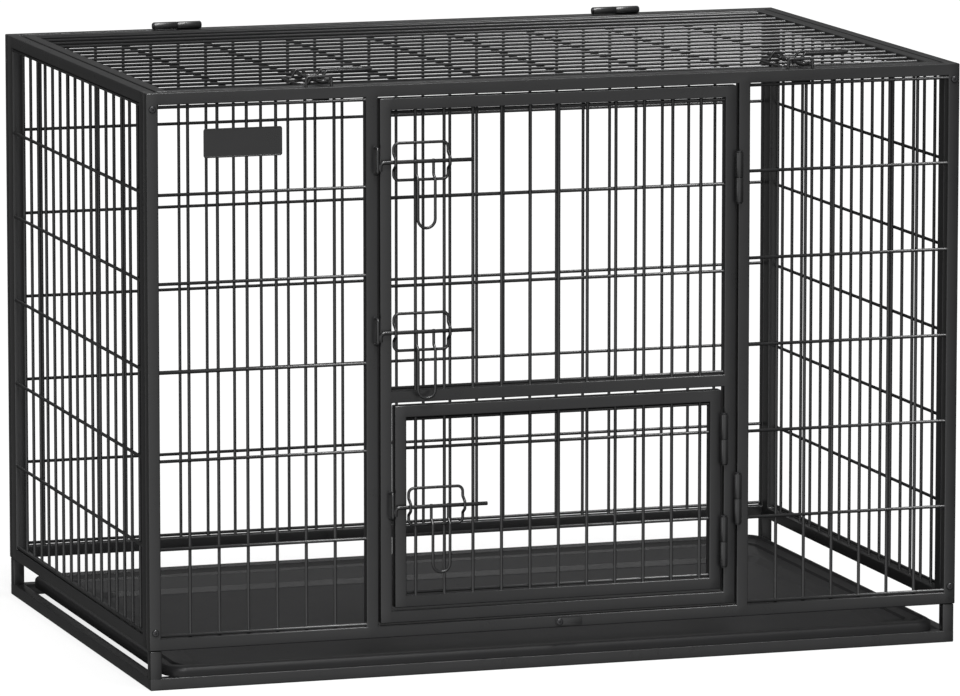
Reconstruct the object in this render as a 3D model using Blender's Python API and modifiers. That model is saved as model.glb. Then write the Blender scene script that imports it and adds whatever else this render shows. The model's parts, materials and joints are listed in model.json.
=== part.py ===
"""Pet crate: a welded cage of square tube and wire on a base ring.

The front holds a door with a feeding door in it. The top is a hinged lid. A tray slides in above the base.
Everything is in metres. The crate's own frame has its origin on the floor under the middle of the cage,
X to the right, Y to the back and Z up. A flat panel also has a frame of its own: x across it, y up it and
z out of its outer face.
"""

import math

import bmesh
import bpy
from mathutils import Matrix, Vector

# Cage
CRATE_WIDTH = 1.070
CRATE_DEPTH = 0.700
CRATE_HEIGHT = 0.747
TUBE = 0.015
TUBE_ROUND = 0.001
SIDE_STILE = 0.020
GAP = 0.0003

# Base ring on the floor, with a leg in each corner that carries the cage
BASE_INSET = 0.001
LEG_TOP = 0.050
CROSS_MEMBER_COUNT = 2

# Wire mesh
WIRE = 0.004
WIRE_SIDES = 6
WIRE_PITCH = 0.03765
WIRE_LAYER = 0.0035
CROSS_PITCH = 0.11075
CROSS_END_SHARE = 0.75
EDGE_WIRE = 0.003
WELD_DEPTH = 0.002

# Door, with the feeding door in its lower half
DOOR_OPENING = 0.476
DOOR_GAP = 0.003
DOOR_TOP_GAP = 0.0022
CROSSBAR_LEVEL = 0.347
DOOR_CROSS_DROP = 0.1105
FEED_GAP = 0.004
FEED_CROSS_DROP = 0.0395

# Lid
LID_GAP = 0.003
LID_CROSS_SHIFT = -0.018
LID_REST_WIDTH = 0.020
LID_REST_REACH = 0.010
LID_REST_THICKNESS = 0.002

# Hinges: a barrel of two knuckles on a pin, welded to the outer faces
BARREL_RADIUS = 0.005
BARREL_LENGTH = 0.064
BARREL_ROUND = 0.0006
BORE_RADIUS = 0.0028
PIN_RADIUS = 0.0025
PIN_HEAD_RADIUS = 0.0040
PIN_HEAD = 0.001
FOOT_REACH = 0.0075
FOOT_EDGE = 0.001
FOOT_MARGIN = 0.003
ROUND_SIDES = 12
DOOR_HINGE_ABOVE_BOTTOM = 0.1354
DOOR_HINGE_BELOW_TOP = 0.1159
FEED_HINGE_FROM_END = 0.0622
LID_HINGE_FROM_SIDE = 0.2295

# Slide latches: a guide loop, a bolt with its handle, and a keeper staple
LATCH_WIRE = 0.0035
GUIDE_LENGTH = 0.071
GUIDE_HEIGHT = 0.0465
GUIDE_CORNER = 0.007
GUIDE_MARGIN = 0.0005
BOW_REACH = 0.011
BOW_FLAT = 0.003
BOLT = 0.005
BOLT_HEIGHT = 0.005
BOLT_TAIL = 0.014
TIP_BEYOND_KEEPER = 0.0113
TIP_DROP = 0.011
TIP_BEND = 0.005
BOLT_DRAWN = 0.017
HANDLE_WIDTH = 0.0224
HANDLE_OFFSET = -0.013
HANDLE_DROP = 0.083
HANDLE_HEIGHT = 0.0125
HANDLE_JOG_START = 0.0165
HANDLE_JOG_END = 0.0225
KEEPER_DISTANCE = 0.0595
KEEPER_TOP = 0.019
KEEPER_BOTTOM = 0.01375
KEEPER_HEIGHT = 0.012
KEEPER_BEND = 0.004
DOOR_LATCH_ABOVE_CROSSBAR = 0.0743
DOOR_LATCH_BELOW_TOP = 0.0794
LID_LATCH_FROM_LEFT = 0.227
LID_LATCH_FROM_RIGHT = 0.209

# Tray
TRAY_WALL = 0.0025
TRAY_SIDE_GAP = 0.007
TRAY_FRONT_INSET = 0.002
TRAY_BACK_INSET = 0.018
TRAY_CORNER = 0.025
TRAY_RIM = 0.0285
TRAY_LIP_ROUND = 0.005
TRAY_FLOOR = 0.0182
TRAY_RIB_RISE = 0.0015
TRAY_RIBS = {"side": (0.0175, 0.0310), "front": (0.0125, 0.0175), "back": (0.0350, 0.0600)}
TRAY_BORDERS = {"side": 0.050, "front": 0.025, "back": 0.142}
TRAY_SLOPE = 0.005

# Turning clip that keeps the tray in
CLIP_WIDTH = 0.0105
CLIP_LENGTH = 0.030
CLIP_THICKNESS = 0.0015

# Screws
SCREW_HEAD_RADIUS = 0.0035
SCREW_HEAD = 0.0025
SCREW_RADIUS = 0.0020
SCREW_HOLE_RADIUS = 0.0023
SCREW_BITE = 0.008
CORNER_SCREW_BELOW_TOP = 0.020
CORNER_SCREW_ABOVE_BOTTOM = 0.023

# Bare plate on the left of the front
PLATE_WIDTH = 0.101
PLATE_HEIGHT = 0.0365
PLATE_THICKNESS = 0.0012
PLATE_CORNER = 0.003
PLATE_SHIFT = -0.024
PLATE_RAISED = 0.006

# Worked out from the sizes above
HALF_WIDTH = CRATE_WIDTH / 2
HALF_DEPTH = CRATE_DEPTH / 2
CAGE_BOTTOM = LEG_TOP
CLIP_LEVEL = CAGE_BOTTOM + TUBE / 2
OPENING_BOTTOM = CAGE_BOTTOM + TUBE
OPENING_TOP = CRATE_HEIGHT - TUBE
INNER_LAYER = WIRE_LAYER + WIRE + GAP
DOOR_HALF = DOOR_OPENING / 2 - DOOR_GAP
DOOR_BOTTOM = OPENING_BOTTOM + DOOR_GAP
DOOR_TOP = OPENING_TOP - DOOR_TOP_GAP
DOOR_MESH_BOTTOM = CROSSBAR_LEVEL + TUBE
FEED_HALF = DOOR_HALF - TUBE - FEED_GAP
FEED_BOTTOM = DOOR_BOTTOM + TUBE + FEED_GAP
FEED_TOP = CROSSBAR_LEVEL - FEED_GAP
LID_HALF_WIDTH = HALF_WIDTH - TUBE - LID_GAP
LID_HALF_DEPTH = HALF_DEPTH - TUBE - LID_GAP
FEED_MIDDLE = (FEED_BOTTOM + FEED_TOP) / 2
AXIS_HEIGHT = BARREL_RADIUS + GAP
DOOR_AXIS = DOOR_OPENING / 2 - DOOR_GAP / 2
FEED_AXIS = FEED_HALF + FEED_GAP / 2
LID_AXIS = LID_HALF_DEPTH + LID_GAP / 2
DOOR_HINGE_LEVELS = {
    "lower": DOOR_BOTTOM + DOOR_HINGE_ABOVE_BOTTOM,
    "upper": DOOR_TOP - DOOR_HINGE_BELOW_TOP,
}
FEED_HINGE_LEVELS = {
    "lower": FEED_BOTTOM + FEED_HINGE_FROM_END,
    "upper": FEED_TOP - FEED_HINGE_FROM_END,
}
LID_HINGE_PLACES = {
    "left": LID_HINGE_FROM_SIDE - HALF_WIDTH,
    "right": HALF_WIDTH - LID_HINGE_FROM_SIDE,
}
DOOR_LATCH_LEVELS = {
    "lower": DOOR_MESH_BOTTOM + DOOR_LATCH_ABOVE_CROSSBAR,
    "upper": DOOR_TOP - DOOR_LATCH_BELOW_TOP,
}
LID_LATCH_PLACES = {
    "left": LID_LATCH_FROM_LEFT - HALF_WIDTH,
    "right": HALF_WIDTH - LID_LATCH_FROM_RIGHT,
}
GUIDE_CENTRE = GUIDE_MARGIN + LATCH_WIRE / 2 + GUIDE_LENGTH / 2
GUIDE_LEVEL = LATCH_WIRE / 2 + GAP - (WIRE_LAYER - WIRE / 2)
BOW_LEVEL = BOLT_HEIGHT + BOLT / 2 + GAP + LATCH_WIRE / 2
FRONT_REACH = HANDLE_HEIGHT + LATCH_WIRE / 2 * math.cos(math.pi / WIRE_SIDES)
BACK_REACH = GAP + SCREW_HEAD
ORIGIN_SHIFT = (FRONT_REACH - BACK_REACH) / 2


def clear_scene():
    for thing in list(bpy.context.scene.objects):
        bpy.data.objects.remove(thing)


def new_collection(name):
    collection = bpy.data.collections.new(name)
    bpy.context.scene.collection.children.link(collection)
    return collection


def new_material(name, colour, roughness, metallic):
    material = bpy.data.materials.new(name)
    material.use_nodes = True
    shader = material.node_tree.nodes["Principled BSDF"]
    shader.inputs["Base Color"].default_value = (*colour, 1)
    shader.inputs["Roughness"].default_value = roughness
    shader.inputs["Metallic"].default_value = metallic
    return material


clear_scene()
CRATE = new_collection("pet_crate")
TOOLS = new_collection("cutters_and_cores")
POWDER_COAT = (0.040, 0.040, 0.042)
FINISHES = {
    "tube": (POWDER_COAT, 0.45, 0.0),
    "mesh": (POWDER_COAT, 0.42, 0.0),
    "hinge": ((0.035, 0.035, 0.037), 0.38, 0.0),
    "latch": ((0.050, 0.050, 0.052), 0.35, 0.0),
    "tray": ((0.060, 0.060, 0.062), 0.55, 0.0),
    "screw": ((0.120, 0.120, 0.125), 0.32, 0.8),
    "plate": ((0.045, 0.045, 0.047), 0.40, 0.0),
}


def panel_frame(origin, across, up):
    """The frame of a flat panel, from the middle of its outer face's foot and its two directions."""
    across, up = Vector(across), Vector(up)
    frame = Matrix((across, up, across.cross(up))).transposed().to_4x4()
    frame.translation = origin
    return frame


FRONT = panel_frame((0, -HALF_DEPTH, 0), (1, 0, 0), (0, 0, 1))
BACK = panel_frame((0, HALF_DEPTH, 0), (-1, 0, 0), (0, 0, 1))
LEFT = panel_frame((-HALF_WIDTH, 0, 0), (0, -1, 0), (0, 0, 1))
RIGHT = panel_frame((HALF_WIDTH, 0, 0), (0, 1, 0), (0, 0, 1))
TOP = panel_frame((0, 0, CRATE_HEIGHT), (1, 0, 0), (0, 1, 0))
BASE = panel_frame((0, 0, TUBE), (1, 0, 0), (0, 1, 0))
QUARTER_TURN = Matrix.Rotation(math.radians(90), 4, "Z")


def add_carrier(name, point, carrier):
    """An empty on a joint's axis. Pieces parented to it turn or slide with it."""
    empty = bpy.data.objects.new(name, None)
    empty.empty_display_size = 0.03
    CRATE.objects.link(empty)
    empty.matrix_basis = Matrix.Translation(point)
    carry(empty, carrier)
    return empty


def carry(thing, carrier):
    """Parent a thing to a carrier, and keep the place that it has in the crate's frame."""
    thing.parent = carrier
    if carrier is not None and carrier.parent is not None:
        thing.matrix_parent_inverse = carrier.matrix_basis.inverted()


def add_piece(name, mesh, frame, carrier, finish):
    """A finished piece: its mesh, its place, what carries it, and a material of its own."""
    piece = bpy.data.objects.new(name, mesh)
    CRATE.objects.link(piece)
    piece.matrix_basis = frame
    carry(piece, carrier)
    mesh.materials.clear()
    mesh.materials.append(new_material(name, *FINISHES[finish]))
    return piece


def add_tool(name, mesh, piece):
    """A cutter or a core of a piece, in the piece's own frame."""
    tool = bpy.data.objects.new(name, mesh)
    TOOLS.objects.link(tool)
    tool.parent = piece
    tool.hide_render = True
    tool.display_type = "WIRE"
    return tool


def combine(piece, operation, mesh):
    """Join a mesh to a piece, or cut it away."""
    name = f"{piece.name}_{operation.lower()}"
    change = piece.modifiers.new(name, "BOOLEAN")
    change.operation = operation
    change.solver = "EXACT"
    change.object = add_tool(name, mesh, piece)


def round_edges(piece, width):
    bevel = piece.modifiers.new("rounded edges", "BEVEL")
    bevel.width = width
    bevel.segments = 1
    bevel.limit_method = "ANGLE"


def smooth_round_faces(mesh):
    mesh.shade_smooth()
    mesh.set_sharp_from_angle(angle=math.radians(35))


def mesh_of_curve(curve, slide=0.0):
    """The closed mesh of a curve, with its caps welded, slid along its own z."""
    holder = bpy.data.objects.new(curve.name, curve)
    bpy.context.scene.collection.objects.link(holder)
    bpy.context.view_layer.update()
    evaluated = holder.evaluated_get(bpy.context.evaluated_depsgraph_get())
    mesh = bpy.data.meshes.new_from_object(evaluated)
    bpy.data.objects.remove(holder)
    edit = bmesh.new()
    edit.from_mesh(mesh)
    bmesh.ops.remove_doubles(edit, verts=edit.verts, dist=0.00001)
    bmesh.ops.translate(edit, verts=edit.verts, vec=(0, 0, slide))
    edit.to_mesh(mesh)
    edit.free()
    return mesh


def flat_mesh(name, outlines, thickness, outer_face=0.0):
    """A plate from a closed outline and the outlines of its openings, its outer face at a given height."""
    curve = bpy.data.curves.new(name, "CURVE")
    curve.dimensions = "2D"
    curve.fill_mode = "BOTH"
    curve.extrude = thickness / 2
    for points in outlines:
        spline = curve.splines.new("POLY")
        spline.points.add(len(points) - 1)
        for point, (x, y) in zip(spline.points, points):
            point.co = (x, y, 0, 1)
        spline.use_cyclic_u = True
    return mesh_of_curve(curve, outer_face - thickness / 2)


def bent_wire_mesh(name, points, diameter, closed=False):
    """A bent wire along points of its centre line."""
    curve = bpy.data.curves.new(name, "CURVE")
    curve.dimensions = "3D"
    curve.bevel_depth = diameter / 2
    curve.bevel_resolution = 1
    curve.use_fill_caps = not closed
    spline = curve.splines.new("POLY")
    spline.points.add(len(points) - 1)
    for point, place in zip(spline.points, points):
        point.co = (*place, 1)
    spline.use_cyclic_u = closed
    mesh = mesh_of_curve(curve)
    smooth_round_faces(mesh)
    return mesh


def cylinders_mesh(name, runs, radius, sides):
    """Straight round bars, one closed body for each pair of end points."""
    edit = bmesh.new()
    for start, end in runs:
        run = Vector(end) - Vector(start)
        place = Matrix.Translation((Vector(start) + Vector(end)) / 2)
        place = place @ run.to_track_quat("Z", "Y").to_matrix().to_4x4()
        bmesh.ops.create_cone(
            edit,
            cap_ends=True,
            segments=sides,
            radius1=radius,
            radius2=radius,
            depth=run.length,
            matrix=place,
        )
    mesh = bpy.data.meshes.new(name)
    edit.to_mesh(mesh)
    edit.free()
    smooth_round_faces(mesh)
    return mesh


def turned_mesh(name, profile, sides, closed=False):
    """A body turned about z from a profile of (radius, height)."""
    mesh = bpy.data.meshes.new(name)
    points = [(radius, 0, height) for radius, height in profile]
    edges = [(n, n + 1) for n in range(len(points) - 1)]
    if closed:
        edges.append((len(points) - 1, 0))
    mesh.from_pydata(points, edges, [])
    holder = bpy.data.objects.new(name, mesh)
    bpy.context.scene.collection.objects.link(holder)
    screw = holder.modifiers.new("turned", "SCREW")
    screw.steps = sides
    screw.render_steps = sides
    screw.use_merge_vertices = True
    screw.merge_threshold = 0.00001
    bpy.context.view_layer.update()
    evaluated = holder.evaluated_get(bpy.context.evaluated_depsgraph_get())
    turned = bpy.data.meshes.new_from_object(evaluated)
    bpy.data.objects.remove(holder)
    edit = bmesh.new()
    edit.from_mesh(turned)
    bmesh.ops.recalc_face_normals(edit, faces=edit.faces)
    edit.to_mesh(turned)
    edit.free()
    smooth_round_faces(turned)
    return turned


def rectangle(left, bottom, right, top):
    return [(left, bottom), (right, bottom), (right, top), (left, top)]


def arc(centre, radius, start, end, steps):
    """Points on an arc, with its angles in degrees."""
    angles = [math.radians(start + (end - start) * n / steps) for n in range(steps + 1)]
    return [(centre[0] + radius * math.cos(a), centre[1] + radius * math.sin(a)) for a in angles]


def rounded_rectangle(left, bottom, right, top, radius, steps):
    """A rectangle with an arc in each corner, from its right side round to the left."""
    return [
        *arc((right - radius, bottom + radius), radius, -90, 0, steps),
        *arc((right - radius, top - radius), radius, 0, 90, steps),
        *arc((left + radius, top - radius), radius, 90, 180, steps),
        *arc((left + radius, bottom + radius), radius, 180, 270, steps),
    ]


def smooth_step(share):
    share = min(max(share, 0.0), 1.0)
    return share * share * (3 - 2 * share)


def places_within(half, pitch, centred):
    """Places at one pitch on both sides of a middle, one of them on it where centred, clear of both ends."""
    first = 0 if centred else pitch / 2
    count = int((half - WIRE - first) / pitch) + 1
    right = [first + pitch * n for n in range(count)]
    return sorted({-place for place in right} | set(right))


def fixed_levels():
    """Levels of a fixed bay's level wires, from its middle out, with most of a pitch left at both ends."""
    middle, half = (OPENING_BOTTOM + OPENING_TOP) / 2, (OPENING_TOP - OPENING_BOTTOM) / 2
    reach = half + WIRE - CROSS_END_SHARE * CROSS_PITCH
    return [middle + y for y in places_within(reach, CROSS_PITCH, True)]


def levels_down(top, drop, bottom):
    """Levels at the wide pitch below a top, down to half a pitch above the bottom."""
    count = int((top - drop - bottom) / CROSS_PITCH - 0.5) + 1
    return [top - drop - CROSS_PITCH * n for n in range(count)]


def edge_places(low, high):
    """The two wires that lie beside the tubes at a mesh's ends."""
    return [low + EDGE_WIRE, high - EDGE_WIRE]


def upright_wires(places, bottom, top, depth):
    return [((x, bottom - WELD_DEPTH, -depth), (x, top + WELD_DEPTH, -depth)) for x in places]


def level_wires(levels, left, right, depth):
    return [((left - WELD_DEPTH, y, -depth), (right + WELD_DEPTH, y, -depth)) for y in levels]


def fixed_mesh(left, right, centred=False):
    """Mesh of a fixed bay: level wires outside, upright wires behind them."""
    middle = (left + right) / 2
    uprights = [middle + x for x in places_within((right - left) / 2, WIRE_PITCH, centred)]
    levels = fixed_levels() + edge_places(OPENING_BOTTOM, OPENING_TOP)
    return level_wires(levels, left, right, WIRE_LAYER) + upright_wires(
        uprights, OPENING_BOTTOM, OPENING_TOP, INNER_LAYER
    )


def door_mesh(half, bottom, top, drop):
    """Mesh of a door: upright wires in front, level wires behind them."""
    uprights = places_within(half, WIRE_PITCH, True)
    levels = levels_down(top, drop, bottom) + edge_places(bottom, top)
    return upright_wires(uprights, bottom, top, WIRE_LAYER) + level_wires(levels, -half, half, INNER_LAYER)


def add_tube_panel(name, outline, openings, wires, frame, carrier):
    """A flat frame of welded tube with its wires welded in."""
    outlines = [rectangle(*outline), *[rectangle(*opening) for opening in openings]]
    panel = add_piece(name, flat_mesh(name, outlines, TUBE), frame, carrier, "tube")
    round_edges(panel, TUBE_ROUND)
    if wires:
        combine(panel, "UNION", cylinders_mesh(f"{name}_wires", wires, WIRE / 2, WIRE_SIDES))
    return panel


def corner_screw_places():
    """Where the corner screws stand on the front and on the back."""
    across = HALF_WIDTH - TUBE / 2
    levels = (CAGE_BOTTOM + CORNER_SCREW_ABOVE_BOTTOM, CRATE_HEIGHT - CORNER_SCREW_BELOW_TOP)
    return [(side * across, level) for side in (-1, 1) for level in levels]


def screw_holes(places, frame, piece_frame, depth):
    """Cutters for screw holes that start outside a panel's face, in another piece's frame."""
    to_piece = piece_frame.inverted() @ frame
    runs = [(to_piece @ Vector((x, y, TUBE)), to_piece @ Vector((x, y, -depth))) for x, y in places]
    return cylinders_mesh("screw_holes", runs, SCREW_HOLE_RADIUS, ROUND_SIDES)


def add_base():
    """The base ring, its cross members and its four legs."""
    half_width, half_depth = HALF_WIDTH - BASE_INSET, HALF_DEPTH - BASE_INSET
    bays = CROSS_MEMBER_COUNT + 1
    bay = (2 * (half_width - TUBE) - CROSS_MEMBER_COUNT * TUBE) / bays
    openings = []
    for n in range(bays):
        left = -half_width + TUBE + n * (bay + TUBE)
        openings.append((left, -half_depth + TUBE, left + bay, half_depth - TUBE))
    outline = (-half_width, -half_depth, half_width, half_depth)
    base = add_tube_panel("base_frame", outline, openings, [], BASE, ORIGIN)
    legs = bmesh.new()
    top = LEG_TOP - GAP - TUBE
    height = top + TUBE / 2
    for x in (-half_width + TUBE / 2, half_width - TUBE / 2):
        for y in (-half_depth + TUBE / 2, half_depth - TUBE / 2):
            place = Matrix.Translation((x, y, top - height / 2)) @ Matrix.Diagonal((TUBE, TUBE, height, 1))
            bmesh.ops.create_cube(legs, size=1, matrix=place)
    mesh = bpy.data.meshes.new("legs")
    legs.to_mesh(mesh)
    legs.free()
    combine(base, "UNION", mesh)


def front_bays():
    """The left and right ends of the mesh bays on both sides of the door opening."""
    inner, door_side = HALF_WIDTH - TUBE, DOOR_OPENING / 2 + TUBE
    return [(-inner, -door_side), (door_side, inner)]


def add_front_panel():
    """The front of the cage: a mesh bay on each side of the door opening, and rests for the lid."""
    bays = front_bays()
    ends = [*bays, (-DOOR_OPENING / 2, DOOR_OPENING / 2)]
    openings = [(left, OPENING_BOTTOM, right, OPENING_TOP) for left, right in ends]
    wires = fixed_mesh(*bays[0]) + fixed_mesh(*bays[1])
    outline = (-HALF_WIDTH, CAGE_BOTTOM, HALF_WIDTH, CRATE_HEIGHT)
    panel = add_tube_panel("front_panel", outline, openings, wires, FRONT, ORIGIN)
    for place in LID_LATCH_PLACES.values():
        combine(panel, "UNION", lid_rest_mesh(place))
    combine(panel, "DIFFERENCE", screw_holes(corner_screw_places(), FRONT, FRONT, 2 * TUBE))
    combine(panel, "DIFFERENCE", screw_holes([(0, CLIP_LEVEL)], FRONT, FRONT, SCREW_BITE + GAP))


def lid_rest_mesh(place):
    """A tab under the front's top tube that reaches inwards, for the closed lid to lie on."""
    top = OPENING_TOP - GAP
    foot, step, end = TUBE / 2, TUBE - GAP, TUBE + LID_GAP + LID_REST_REACH
    outline = [
        (foot, top - LID_REST_THICKNESS),
        (end, top - LID_REST_THICKNESS),
        (end, top),
        (step, top),
        (step, top + LID_REST_THICKNESS),
        (foot, top + LID_REST_THICKNESS),
    ]
    mesh = flat_mesh("lid_rest", [outline], LID_REST_WIDTH, LID_REST_WIDTH / 2)
    mesh.transform(Matrix.Translation((place, 0, 0)) @ Matrix.Rotation(math.radians(90), 4, "Y"))
    return mesh


def add_back_panel():
    inner = HALF_WIDTH - TUBE
    opening = (-inner, OPENING_BOTTOM, inner, OPENING_TOP)
    outline = (-HALF_WIDTH, CAGE_BOTTOM, HALF_WIDTH, CRATE_HEIGHT)
    panel = add_tube_panel("back_panel", outline, [opening], fixed_mesh(-inner, inner, True), BACK, ORIGIN)
    combine(panel, "DIFFERENCE", screw_holes(corner_screw_places(), BACK, BACK, 2 * TUBE))


def add_side_panel(name, frame, side):
    """A side of the cage, between the front and the back panel."""
    half = HALF_DEPTH - TUBE - GAP
    opening = (-half + SIDE_STILE, OPENING_BOTTOM, half - SIDE_STILE, OPENING_TOP)
    outline = (-half, CAGE_BOTTOM, half, CRATE_HEIGHT)
    panel = add_tube_panel(name, outline, [opening], fixed_mesh(opening[0], opening[2]), frame, ORIGIN)
    depth = TUBE + GAP + SCREW_BITE + GAP
    for face, across in ((FRONT, side), (BACK, -side)):
        places = [place for place in corner_screw_places() if place[0] * across > 0]
        combine(panel, "DIFFERENCE", screw_holes(places, face, frame, depth))


def add_lid():
    """The lid, flush with the cage's top between the other panels."""
    opening = (-LID_HALF_WIDTH + TUBE, -LID_HALF_DEPTH + TUBE, LID_HALF_WIDTH - TUBE, LID_HALF_DEPTH - TUBE)
    outline = (-LID_HALF_WIDTH, -LID_HALF_DEPTH, LID_HALF_WIDTH, LID_HALF_DEPTH)
    lengthwise = places_within(opening[3], WIRE_PITCH, False) + edge_places(opening[1], opening[3])
    span = opening[2] - abs(LID_CROSS_SHIFT)
    crosswise = [LID_CROSS_SHIFT + x for x in places_within(span, CROSS_PITCH, False)]
    wires = level_wires(lengthwise, opening[0], opening[2], WIRE_LAYER)
    wires += upright_wires(crosswise, opening[1], opening[3], INNER_LAYER)
    add_tube_panel("lid", outline, [opening], wires, TOP, LID_CARRIER)


def add_door():
    """The front door: mesh above a crossbar, and an opening for the feeding door below it."""
    half = DOOR_HALF - TUBE
    openings = [
        (-half, DOOR_MESH_BOTTOM, half, DOOR_TOP - TUBE),
        (-half, DOOR_BOTTOM + TUBE, half, CROSSBAR_LEVEL),
    ]
    wires = door_mesh(half, DOOR_MESH_BOTTOM, DOOR_TOP - TUBE, DOOR_CROSS_DROP)
    outline = (-DOOR_HALF, DOOR_BOTTOM, DOOR_HALF, DOOR_TOP)
    add_tube_panel("door", outline, openings, wires, FRONT, DOOR_CARRIER)


def add_feeding_door():
    half, bottom, top = FEED_HALF - TUBE, FEED_BOTTOM + TUBE, FEED_TOP - TUBE
    wires = door_mesh(half, bottom, top, FEED_CROSS_DROP)
    outline = (-FEED_HALF, FEED_BOTTOM, FEED_HALF, FEED_TOP)
    add_tube_panel("feeding_door", outline, [(-half, bottom, half, top)], wires, FRONT, FEED_CARRIER)


def along_y(mesh, y, z):
    """Lay a body turned about z along y, with its middle at the given place."""
    mesh.transform(Matrix.Translation((0, y, z)) @ Matrix.Rotation(math.radians(-90), 4, "X"))
    return mesh


def knuckle_mesh(name):
    """The lower half of a hinge's barrel, along y and bored for the pin."""
    half = BARREL_LENGTH / 4 - GAP / 2
    profile = [
        (BORE_RADIUS, half),
        (BARREL_RADIUS - BARREL_ROUND, half),
        (BARREL_RADIUS, half - BARREL_ROUND),
        (BARREL_RADIUS, BARREL_ROUND - half),
        (BARREL_RADIUS - BARREL_ROUND, -half),
        (BORE_RADIUS, -half),
    ]
    return along_y(turned_mesh(name, profile, ROUND_SIDES, closed=True), -BARREL_LENGTH / 4, AXIS_HEIGHT)


def foot_mesh(name):
    """The weld that joins a knuckle to the tube on its side, from the face up to the barrel's flank."""
    middle = (BARREL_RADIUS + BORE_RADIUS) / 2
    shoulder = arc((0, -AXIS_HEIGHT), middle, 15, 55, 1)
    outline = [
        (BARREL_RADIUS / 4, -GAP),
        *reversed(shoulder),
        (FOOT_REACH, -GAP - FOOT_EDGE),
        (FOOT_REACH, -GAP),
    ]
    length = BARREL_LENGTH / 2 - 2 * FOOT_MARGIN
    mesh = flat_mesh(name, [outline], length, length / 2)
    return along_y(mesh, -BARREL_LENGTH / 4, 0)


def pin_mesh(name):
    end = BARREL_LENGTH / 2 + GAP
    profile = [
        (0, end + PIN_HEAD),
        (PIN_HEAD_RADIUS, end + PIN_HEAD),
        (PIN_HEAD_RADIUS, end),
        (PIN_RADIUS, end),
        (PIN_RADIUS, -end),
        (PIN_HEAD_RADIUS, -end),
        (PIN_HEAD_RADIUS, -end - PIN_HEAD),
        (0, -end - PIN_HEAD),
    ]
    return along_y(turned_mesh(name, profile, ROUND_SIDES), 0, AXIS_HEIGHT)


def add_hinge(name, frame, carrier, moving_carrier):
    """A hinge along the frame's y. The fixed side is towards x, and z is out of the faces."""
    half_turn = Matrix.Rotation(math.pi, 4, "Z")
    for side, place, holder in (("fixed", frame, carrier), ("moving", frame @ half_turn, moving_carrier)):
        knuckle = add_piece(f"{name}_{side}", knuckle_mesh(name), place, holder, "hinge")
        combine(knuckle, "UNION", foot_mesh(f"{name}_foot"))
    add_piece(f"{name}_pin", pin_mesh(name), frame, carrier, "hinge")


def add_hinges():
    for side, level in DOOR_HINGE_LEVELS.items():
        frame = FRONT @ Matrix.Translation((DOOR_AXIS, level, 0))
        add_hinge(f"door_hinge_{side}", frame, ORIGIN, DOOR_CARRIER)
    for side, level in FEED_HINGE_LEVELS.items():
        frame = FRONT @ Matrix.Translation((FEED_AXIS, level, 0))
        add_hinge(f"feeding_hinge_{side}", frame, DOOR_CARRIER, FEED_CARRIER)
    for side, place in LID_HINGE_PLACES.items():
        frame = TOP @ Matrix.Translation((place, LID_AXIS, 0)) @ QUARTER_TURN
        add_hinge(f"lid_hinge_{side}", frame, ORIGIN, LID_CARRIER)


def bend(corner, into, out, radius, steps):
    """Points round a bend at a corner of a wire, from the way that it comes in to the way that it leaves."""
    into, out = Vector(into).normalized(), Vector(out).normalized()
    corner = Vector(corner)
    cut = radius * math.tan(into.angle(out) / 2)
    centre = corner - into * cut + (out - into * into.dot(out)).normalized() * radius
    start = (corner - into * cut - centre).normalized()
    end = (corner + out * cut - centre).normalized()
    return [centre + radius * start.slerp(end, n / steps) for n in range(steps + 1)]


def guide_mesh():
    """The guide: a wire loop whose two short sides bow up over the bolt."""
    half_length, half_height = GUIDE_LENGTH / 2, GUIDE_HEIGHT / 2
    bow = [BOW_REACH, 0.75 * BOW_REACH, 0.5 * BOW_REACH, BOW_FLAT]
    bow += [-y for y in reversed(bow)]
    loop = rounded_rectangle(-half_length, -half_height, half_length, half_height, GUIDE_CORNER, 3)
    quarter = len(loop) // 4
    right = [(half_length, -y) for y in bow]
    left = [(-half_length, y) for y in bow]
    loop = [*loop[:quarter], *right, *loop[quarter : 3 * quarter], *left, *loop[3 * quarter :]]
    points = []
    for x, y in loop:
        rise = smooth_step((BOW_REACH - abs(y)) / (BOW_REACH - BOW_FLAT))
        if abs(x) < half_length - WIRE:
            rise = 0
        points.append((x, y, GUIDE_LEVEL + (BOW_LEVEL - GUIDE_LEVEL) * rise))
    return bent_wire_mesh("guide", points, LATCH_WIRE, closed=True)


def bolt_mesh():
    """The rod with its turned-down tip, in the shot position, its axis along x."""
    tip = -KEEPER_DISTANCE - TIP_BEYOND_KEEPER
    points = [(tip, -TIP_DROP, 0), *bend((tip, 0, 0), (0, 1, 0), (1, 0, 0), TIP_BEND, 4)]
    points.append((GUIDE_LENGTH / 2 + BOLT_TAIL, 0, 0))
    return bent_wire_mesh("bolt", points, BOLT)


def handle_mesh():
    """The handle: a wire bow that hangs from the rod and steps out over the guide."""
    out, radius = HANDLE_HEIGHT - BOLT_HEIGHT, HANDLE_WIDTH / 2
    leg = [(0, 0), (-HANDLE_JOG_START, 0), (-HANDLE_JOG_END, out)]
    left = [(HANDLE_OFFSET - radius, y, z) for y, z in leg]
    right = [(HANDLE_OFFSET + radius, y, z) for y, z in reversed(leg)]
    round_end = arc((HANDLE_OFFSET, radius - HANDLE_DROP), radius, 180, 360, 8)
    points = [*left, *[(x, y, out) for x, y in round_end], *right]
    return bent_wire_mesh("handle", points, LATCH_WIRE)


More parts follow.
